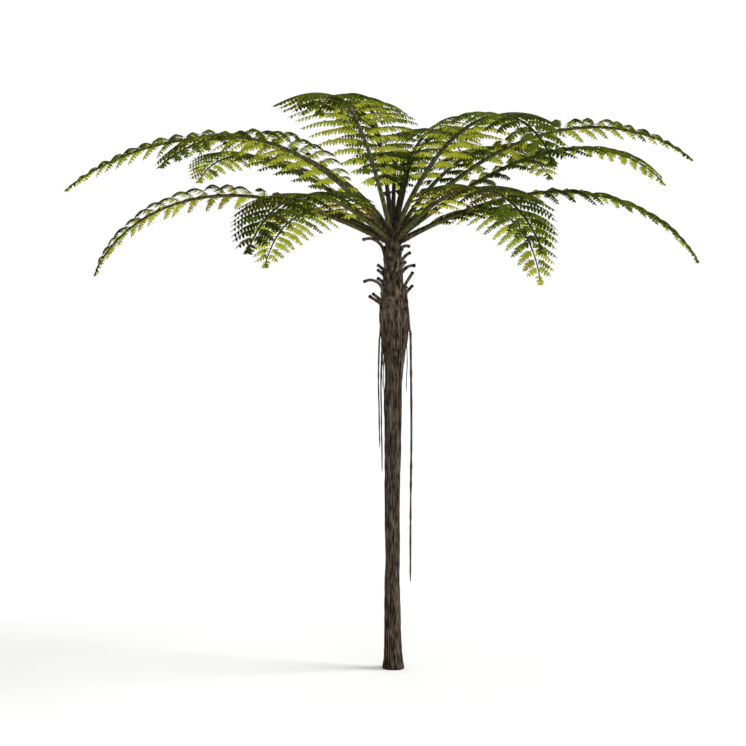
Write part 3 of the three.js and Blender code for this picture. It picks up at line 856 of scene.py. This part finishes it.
# Blades: the small leaves on both sides of a leaflet's rib.
BLADE_STEP = 0.036
BLADE_LENGTH = 0.065
BLADE_WIDTH = 0.034
FULL_LEAFLET = 0.45  # leaflets from this length on have blades of full size
SHORT_SHARE = 0.9  # share of that size on the shortest leaflets
FEWEST_BLADES = 4
BLADE_START = 0.055  # bare foot of a leaflet's rib, in metres
LATEST_START = 0.2
BLADE_SIZES = [(0, 0.7), (0.2, 1), (0.6, 0.95), (0.85, 0.66), (1, 0.4)]  # share of the size along a leaflet
BLADE_LEAN = [(0, 6), (0.5, 14), (0.85, 24), (1, 40)]  # degrees towards the leaflet's tip, along a leaflet
BLADE_FALL = 24  # degrees that a blade hangs below the frond's own plane
BLADE_TWIST = 8  # degrees that a blade turns about its length, upper face towards the leaflet's tip
FALL_SPREAD, LEAN_SPREAD, TWIST_SPREAD = 6, 3, 7
SIZE_SPREAD = (0.9, 1.08)
WIDTH_SPREAD = (0.9, 1.1)
WIDTH_POWER = 0.45  # short blades are less narrow than long ones
TIP_BLADE = 0.55  # length of the blade at a leaflet's tip, as a part of the longest
TIP_WIDTH = 0.4
TIP_OVERLAP = 0.3
BLADE_TEETH = 3
TOOTH_PLACE = 0.8  # of a tooth's point, as a part of the tooth's run
TOOTH_REACH = 0.12  # a tooth is as wide as the outline was this part of the length before
BLADE_RIDGE = (0.06, 0.2, 0.16)  # height of a blade's foot, and its falls to the sides and to the tip
BLADE_OUTLINE = [(0, 0.54), (0.3, 0.52), (0.62, 0.38), (0.86, 0.19), (1, 0)]  # half width along a blade
NOTCH = 0.84  # half width at a notch, as a part of the outline's
UNDER_GAP = 0.0009  # distance between a blade's upper and lower faces
PIECE_TRIANGLES = 190_000  # the most in one piece
MAIN_SHARE = 0.82  # share of a leaflet's blades that have its main kind


def blade_template(teeth):
    """A toothed blade: (across, along, above) places for a blade of size 1, and its triangles."""
    notches = np.arange(teeth + 1) / teeth
    tips = (np.arange(teeth) + TOOTH_PLACE) / teeth
    middle = [(0, y) for y in notches]
    notch_edge = [(table_at(y, BLADE_OUTLINE) * NOTCH, y) for y in notches[:-1]]
    tooth_edge = [(table_at(y - TOOTH_REACH, BLADE_OUTLINE), y) for y in tips]
    edge = notch_edge + tooth_edge
    flat = middle + edge + [(-x, y) for x, y in edge]
    foot, to_side, to_tip = BLADE_RIDGE
    points = np.array([(x, y, foot - to_side * abs(x) - to_tip * y * y) for x, y in flat])
    triangles = []
    for start, order in ((teeth + 1, 1), (3 * teeth + 1, -1)):
        for i in range(teeth):
            notch, tooth = start + i, start + teeth + i
            after = notch + 1 if i < teeth - 1 else i + 1
            for corners in ((i, notch, tooth), (i, tooth, i + 1), (i + 1, tooth, after)):
                if len(set(corners)) == 3:
                    triangles.append(corners[::order])
    return points, np.array(triangles)


class Blades:
    """Blades of one kind: foot, directions and sizes of each."""

    def __init__(self):
        self.rows = []

    def add(self, at, across, along, normal, length, width):
        wide, tall = width[:, None], length[:, None]
        self.rows.append(np.hstack([at, across * wide, along * tall, normal * wide]))

    def pieces(self, name, template, material, lift):
        points, triangles = template
        rows = np.vstack(self.rows)
        at, across, along, normal = (rows[:, None, i : i + 3] for i in (0, 3, 6, 9))
        places = at + across * points[:, :1] + along * points[:, 1:2] + normal * points[:, 2:]
        places = places + unit(normal) * lift
        limit = PIECE_TRIANGLES // len(triangles)
        for part, start in enumerate(range(0, len(rows), limit)):
            some = places[start : start + limit]
            steps = np.arange(len(some))[:, None, None] * len(points)
            faces = (triangles[None] + steps).reshape(-1, 3)
            mesh_piece(f"{name}_{part + 1}", some.reshape(-1, 3), faces, material)


def leaflet_line(at, ahead, side, top, angle, length, arch, droop):
    """Points along a leaflet's rib, from the stem to its tip."""
    out = side * math.sin(angle) + ahead * math.cos(angle)
    t = np.linspace(0, 1, LEAFLET_POINTS)[:, None]
    return at + length * (out * LEAFLET_REACH * t + top * arch * 4 * t * (1 - t) - UP * droop * t * t)


def blade_axes(t, along, across, over, hand, random):
    """Directions across, along and over the blades on one side of a rib."""
    count = len(t)
    fall = np.radians(BLADE_FALL + random.normal(0, FALL_SPREAD, count))[:, None]
    lean = np.radians(table_at(t, BLADE_LEAN) + random.normal(0, LEAN_SPREAD, count))[:, None]
    out = across * hand * np.cos(fall) - over * np.sin(fall)
    blade = out * np.cos(lean) + along * np.sin(lean)
    flat = unit(along - dot(along, blade) * blade)
    above = hand * np.cross(blade, flat)
    twist = np.radians(BLADE_TWIST + random.normal(0, TWIST_SPREAD, count))[:, None]
    wide = flat * np.cos(twist) - above * np.sin(twist)
    normal = above * np.cos(twist) + flat * np.sin(twist)
    return -hand * wide, blade, normal


def add_blades(store, points, top, length, kinds, random):
    """Both rows of blades along a rib, and one at its tip. `kinds` deals the kinds of so many blades."""
    longest = BLADE_LENGTH * mix(SHORT_SHARE, 1, min(1.0, length / FULL_LEAFLET))
    count = max(FEWEST_BLADES, int(length / BLADE_STEP))
    first = min(LATEST_START, BLADE_START / length)
    t = mix(first, 1, (np.arange(count) + 0.3) / (count + 0.1))
    at = along_line(points, t)
    along = unit(along_line(unit(np.gradient(points, axis=0)), t))
    across = unit(np.cross(along, top))
    over = np.cross(across, along)
    for hand in (1, -1):
        axes = blade_axes(t, along, across, over, hand, random)
        size = longest * table_at(t, BLADE_SIZES) * random.uniform(*SIZE_SPREAD, count)
        width = BLADE_WIDTH * (size / BLADE_LENGTH) ** WIDTH_POWER * random.uniform(*WIDTH_SPREAD, count)
        deal = kinds(count)
        for kind in set(deal):
            own = deal == kind
            store[kind].add(at[own], *(axis[own] for axis in axes), size[own], width[own])
    size = np.array([longest * TIP_BLADE])
    foot = points[-1:] - along[-1:] * size * TIP_OVERLAP
    store[kinds(1)[0]].add(foot, across[-1:], along[-1:], over[-1:], size, size * TIP_WIDTH)


def dealer(mood, random):
    """A rule that deals leaf kinds: one for most blades of a leaflet, and a few of another."""
    names = np.array(list(LEAF_UNDERS_PAINTED_LIGHT))
    main, other = random.choice(names, 2, p=MOODS[mood])

    def deal(count):
        return np.where(random.random(count) < MAIN_SHARE, main, other)

    return deal


def frond_stem(arch, stems, uppers):
    """A frond's grooved stem, with a brown foot."""
    brown = np.linspace(0, BROWN_FOOT, BROWN_STATIONS)
    olive = np.linspace(BROWN_FOOT * BROWN_OVERLAP, 1, STEM_STATIONS)
    for kind, s in (("brown", brown), ("olive", olive)):
        at, _, side, top = arch.frame(s)
        wide, deep = rib_half(s)
        tube(stems[kind], at, -side, top, wide, deep, STEM_SECTION, uppers.get(kind))


def leaflet(name, arch, k, hand, length, random):
    """Points along the rib of one leaflet of pair k, and the upward direction of the frond there."""
    at, ahead, side, top = arch.frame((pair_at(k) + pair_at(k + 1)) / 2)
    angle = leaflet_angle((k + 0.5) / PAIRS) + math.radians(random.normal(0, ANGLE_SPREAD))
    rise = HIGH_ARCHES.get(name, LEAFLET_ARCH) * random.uniform(*ARCH_SPREAD)
    droop = LOW_DROOPS.get(name, LEAFLET_DROOP) * random.uniform(*DROOP_SPREAD)
    foot = at + ahead * random.uniform(-PLACE_SPREAD, PLACE_SPREAD)
    return leaflet_line(foot, ahead, side * hand, top, angle, length, rise, droop), top


def end_leaflet(arch, store, mood, random):
    """The single leaflet at a frond's tip."""
    end, ahead, _, top = arch.frame(1.0)
    tip = end + ahead * arch.length * TIP_LENGTH
    line = spline([arch.frame(END_LEAFLET)[0], end, tip], END_POINTS)
    length = arch.length * (1 - END_LEAFLET + TIP_LENGTH)
    add_blades(store, line, top, length, dealer(mood, random), random)


def frond(name, row, store, stems, ribs, uppers, random):
    arch = Arch(row)
    frond_stem(arch, stems, uppers)
    mood = FROND_MOODS.get(name, "fresh")
    for k in range(PAIRS):
        u = (k + 0.5) / PAIRS
        own_mood = "gold" if name in GOLD_FRONDS and k < GOLD_PAIRS else mood
        for hand, shares in zip((1, -1), OWN_SHARES.get(name, RULE_SHARES)):
            length = table_at(u, shares) * leaflet_length(u) * random.uniform(*LENGTH_SPREAD)
            points, top = leaflet(name, arch, k, hand, length, random)
            add_rib(ribs, points, top, length, uppers["rib"])
            add_blades(store, points, top, length, dealer(own_mood, random), random)
    end_leaflet(arch, store, mood, random)


def add_rib(ribs, points, top, length, upper):
    """The rib of a leaflet, a thin four-sided rod."""
    side, over = across_of(points, np.cross(top, points[-1] - points[0]))
    size = np.linspace(*LEAFLET_RIB_RADII, len(points)) * min(1.0, 1 - THINNER_BELOW + length)
    tube(ribs, points, side, over, size, size, ring_section(4), upper)


def both_faces(store, prefix):
    """Meshes of the blades' upper faces, darkened with painted shade, and lower faces, brightened with
    painted light.
    """
    points, triangles = blade_template(BLADE_TEETH)
    turned = triangles[:, ::-1]
    for kind, blades in store.items():
        if blades.rows:
            blades.pieces(f"{prefix}_tops_{kind}", (points, triangles), TOPS[TOP_OF[kind]], 0.0)
            blades.pieces(f"{prefix}_unders_{kind}", (points, turned), UNDERS[kind], -UNDER_GAP)


def crown(random):
    store = {kind: Blades() for kind in LEAF_UNDERS_PAINTED_LIGHT}
    stems = {"brown": Pile(), "olive": Pile()}
    ribs = Pile()
    uppers = {"olive": [], "rib": []}
    for name, row in FRONDS.items():
        frond(name, row, store, stems, ribs, uppers, random)
    stems["brown"].piece("frond_feet", SCALE, "young_stem")
    piece = stems["olive"].piece("frond_stems", FROND_STEM, "frond_leaf")
    mark_points(piece, "upper", uppers["olive"])
    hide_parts(*(f"frond_{name}_{half}" for name in FRONDS for half in ("inner", "outer")))
    mark_points(ribs.piece("leaflet_ribs", LEAFLET_RIB, "frond_leaf"), "upper", uppers["rib"])
    both_faces(store, "blades")


# Croziers: young leaves still rolled up. Path of the stem, radius at its foot and of the rolled end.
CROZIERS = {
    "crozier_left": (
        [
            (-0.024, -0.006, 4.57), (-0.03, 0.01, 4.76), (-0.062, 0.04, 5.0), (-0.104, 0.052, 5.24),
            (-0.138, 0.058, 5.44), (-0.185, 0.06, 5.6), (-0.262, 0.06, 5.72), (-0.345, 0.06, 5.79),
        ],
        0.024,
        0.052,
    ),
    "crozier_right": (
        [
            (0.026, -0.006, 4.56), (0.056, 0.008, 4.74), (0.1, 0.034, 4.93), (0.132, 0.044, 5.09),
            (0.172, 0.05, 5.24), (0.262, 0.054, 5.41), (0.4, 0.056, 5.53), (0.56, 0.056, 5.59),
        ],
        0.022,
        0.048,
    ),
}
CROZIER_POINTS = 60
CROZIER_SECTION = ring_section(8, [(2, 0.88)])
CROZIER_TAPER = 0.48  # radius where the roll starts, as a part of the foot's
COIL_POINTS = 40
COIL_TURN = 2.3 * math.pi
COIL_CLOSE = 0.3  # the roll's inner radius as a part of its outer one
COIL_END = 0.0056  # radius of the stem at its rolled end
SHOOTS = 9
SHOOT_SPAN = (0.36, 0.985)  # parts of the stem that bear side shoots
SHOOT_SIZE = (0.05, 0.02)  # of the lowest and the highest, in metres
SHOOT_SPREAD = (0.85, 1.1)
SHOOT_BEND = (1.1, 0.5)  # its place out from the stem and along it, in sizes like those that follow
SHOOT_STALK = (0.6, 0.05)  # part of the way to the bend, and the rise there
SHOOT_REACH = 0.9  # radius of the ring
SHOOT_CLOSE = 0.45  # its inner radius as a part of the outer one
SHOOT_RADIUS = (0.2, 0.09)  # of the shoot's stem, at its foot and its end
SHOOT_LEAFY = 1.2  # length that its leaflets are made for
SHOOT_BUD = 0.34
BUD_STALK = 0.4
BUD_LEAN = 0.4
SHOOT_TURN = 1.75 * math.pi
SHOOT_POINTS = 20
LEAFY_SHOOT = slice(4, 14)  # points of a shoot's ring that bear leaflets
YOUNG_KIND = "deep"  # the leaf kind of the young leaflets
BUD = [(-2.2, 0.2), (-1.2, 0.22), (-0.8, 0.6), (0, 1), (0.8, 0.85), (1.4, 0.5), (2, 0.1)]  # place, radius
BUD_NEAR = np.array([0.3, 0.8, 0.5])


def young_kinds(count):
    return np.full(count, YOUNG_KIND)


def crozier_line(path, coil):
    """Points along a young leaf's stem and round its roll, and its direction where the roll starts."""
    line = spline(path, CROZIER_POINTS)
    ahead = unit(line[-1] - line[-2])
    over = np.cross(ahead, BACK)
    over = unit(over if over[2] > 0 else -over)
    part = np.linspace(0, 1, COIL_POINTS + 1)[1:]
    reach = (coil * mix(1, COIL_CLOSE, part))[:, None]
    turn = (part * COIL_TURN)[:, None]
    rolled = line[-1] - over * coil + over * reach * np.cos(turn) + ahead * reach * np.sin(turn)
    return line, rolled, ahead


def crozier(name, path, foot, coil, store, random):
    """A young leaf: a stem with a rolled end, and curled side shoots in pairs."""
    pile = Pile()
    line, rolled, ahead = crozier_line(path, coil)
    points = np.vstack([line, rolled])
    taper = [(0, foot), (len(line), foot * CROZIER_TAPER), (len(points), COIL_END)]
    size = table_at(np.arange(len(points)), taper)
    side, top = across_of(points, BACK)
    tube(pile, points, side, top, size, size, CROZIER_SECTION)
    for part in np.linspace(0, 1, SHOOTS):
        index = int(mix(*SHOOT_SPAN, part) * (len(line) - 1))
        along = unit(line[index + 1] - line[index - 1]) if index + 1 < len(line) else ahead
        for hand in (1, -1):
            size = mix(*SHOOT_SIZE, part) * random.uniform(*SHOOT_SPREAD)
            curled_shoot(pile, line[index], along, BACK * hand, size, store, random)
    piece = pile.piece(f"{name}_stem", YOUNG_STEM, "young_stem")
    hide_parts(name)


def curled_shoot(pile, at, along, out, size, store, random):
    """A side shoot that rolls up in a ring, with a bud on a short stalk."""
    bend = at + out * size * SHOOT_BEND[0] + along * size * SHOOT_BEND[1]
    reach = size * SHOOT_REACH
    centre = bend + out * reach
    part = np.linspace(0, 1, SHOOT_POINTS)
    turn = (part * SHOOT_TURN)[:, None]
    spiral = reach * mix(1, SHOOT_CLOSE, part)[:, None]
    ring = centre - out * spiral * np.cos(turn) + along * spiral * np.sin(turn)
    stalk = mix(at, bend, SHOOT_STALK[0]) + along * size * SHOOT_STALK[1]
    points = np.vstack([spline([at, stalk, bend], 6)[:-1], ring])
    near = unit(np.cross(out, along))
    side, top = across_of(points, near)
    radius = size * np.linspace(*SHOOT_RADIUS, len(points))
    tube(pile, points, side, top, radius, radius, ring_section(5))
    bud(pile, bend + out * size * BUD_STALK, unit(along + BUD_LEAN * out), size * SHOOT_BUD)
    add_blades(store, ring[LEAFY_SHOOT], near, size * SHOOT_LEAFY, young_kinds, random)


def bud(pile, at, ahead, radius):
    """A small rolled bud: a round body on a stalk."""
    reach = np.linspace(BUD[0][0], BUD[-1][0], 9)
    size = table_at(reach, BUD) * radius
    points = at + ahead * (reach * radius)[:, None]
    side, top = across_of(points, BUD_NEAR)
    tube(pile, points, side, top, size, size, ring_section(7))


def croziers(random):
    store = {YOUNG_KIND: Blades()}
    for name, (path, foot, coil) in CROZIERS.items():
        crozier(name, path, foot, coil, store, random)
    both_faces(store, "young_blades")


# Brown scales over the growing point and the feet of the stems.
POINT_SCALES = 1500
POINT_DEPTH = 0.2  # how far down from the trunk's top they reach
POINT_OVER = 0.004
POINT_POWER = 1.4  # by which they crowd towards the top
POINT_RISE, POINT_OUT = (0.5, 1.2), (0.2, 0.9)  # upward and outward parts of a scale's direction
POINT_CHANCE = 0.2
STEM_SCALES = 90
STEM_SCALES_START, STEM_SCALES_RUN = 0.012, 0.07  # parts of a stem's length
STEM_POWER = 1.6
STEM_LEAN = (0.2, 0.7)
POINT_SIZES = ((0.03, 0.065), (0.003, 0.005))  # lengths and widths of the scales
STEM_SIZES = ((0.018, 0.045), (0.002, 0.0035))
SCALE_BEND = 0.55  # part of a scale's length where it bends
SCALE_SAG = 0.12  # drop of its tip as a part of its length


def point_scales(pile, random):
    """Scales round the trunk's top, most of them near it."""
    for _ in range(POINT_SCALES):
        turn = random.uniform(0, 2 * np.pi)
        z = TRUNK_TOP - POINT_DEPTH * random.random() ** POINT_POWER
        at = trunk_surface(np.array(turn), np.array(z), POINT_OVER)
        out = np.array([math.cos(turn), math.sin(turn), 0.0])
        rise = UP * random.uniform(*POINT_RISE) + out * random.uniform(*POINT_OUT)
        ahead = unit(rise + random.normal(0, POINT_CHANCE, 3))
        scale_blade(pile, at, ahead, POINT_SIZES, random)


def stem_scales(pile, arch, random):
    """Scales on the foot of one stem."""
    for _ in range(STEM_SCALES):
        s = STEM_SCALES_START + STEM_SCALES_RUN * random.random() ** STEM_POWER
        at, ahead, side, top = arch.frame(s)
        turn = random.uniform(0, 2 * np.pi)
        wide, deep = rib_half(s)
        across, over = side * math.cos(turn), top * math.sin(turn)
        lean = unit(ahead + (across + over) * random.uniform(*STEM_LEAN))
        foot = at + across * wide + over * deep
        scale_blade(pile, foot, lean, STEM_SIZES, random)


def scale_blade(pile, at, ahead, sizes, random):
    """One narrow pointed scale of three faces."""
    length, width = (random.uniform(*span) for span in sizes)
    half = unit(np.cross(ahead, random.normal(size=3))) * width / 2
    bend = at + ahead * length * SCALE_BEND
    tip = at + ahead * length - UP * length * SCALE_SAG
    points = np.array([at - half, at + half, bend + half, bend - half, tip])
    pile.add(points, np.array([[0, 1, 2], [0, 2, 3], [3, 2, 4]]))


def hub_scales(random):
    pile = Pile()
    point_scales(pile, random)
    for row in FRONDS.values():
        stem_scales(pile, Arch(row), random)
    pile.piece("hub_scales", SCALE, "young_stem")


# Stage


def add_sun(name, place, strength, angle):
    light = bpy.data.lights.new(name, "SUN")
    light.energy = strength
    light.angle = math.radians(angle)
    lamp = new_object(name, light)
    lamp.location = place
    x, y, z = np.array(SUN_AIM) - np.array(place)
    lamp.rotation_euler = (math.atan2(math.hypot(x, y), -z), 0, math.atan2(y, x) - math.pi / 2)


def add_camera():
    camera = bpy.data.cameras.new("camera")
    camera.sensor_width = SENSOR_MM
    camera.lens = SENSOR_MM * FOCAL_PIXELS / PHOTO_PIXELS
    camera.clip_end = CAMERA_REACH
    view = new_object("camera", camera)
    view.location = CAMERA_PLACE
    view.rotation_euler = (math.pi / 2, 0, 0)
    bpy.context.scene.camera = view


def add_world():
    world = bpy.data.worlds.new("world")
    world.use_nodes = True
    background = world.node_tree.nodes["Background"]
    background.inputs["Color"].default_value = (1, 1, 1, 1)
    background.inputs["Strength"].default_value = WORLD_STRENGTH
    bpy.context.scene.world = world


def add_floor():
    look = Look("floor", FLOOR_ROUGHNESS, FLOOR_SHINE)
    look.surface["Base Color"].default_value = (FLOOR_GREY, FLOOR_GREY, FLOOR_GREY, 1)
    corners = ((-1, -1), (1, -1), (1, 1), (-1, 1))
    corners = [(x * FLOOR_HALF, y * FLOOR_HALF, FLOOR_Z) for x, y in corners]
    mesh_object("floor", corners, [(0, 1, 2, 3)], look.material)


def stage():
    bpy.context.scene.view_settings.view_transform = "Standard"
    add_camera()
    for name, (place, strength, angle) in SUNS.items():
        add_sun(name, place, strength, angle)
    add_world()
    add_floor()


stage()
trunk_skin()
face_roots(np.random.default_rng(11))
leaf_bases(np.random.default_rng(12))
hanging_roots(np.random.default_rng(13))
hub_scales(np.random.default_rng(14))
crown(np.random.default_rng(15))
croziers(np.random.default_rng(16))
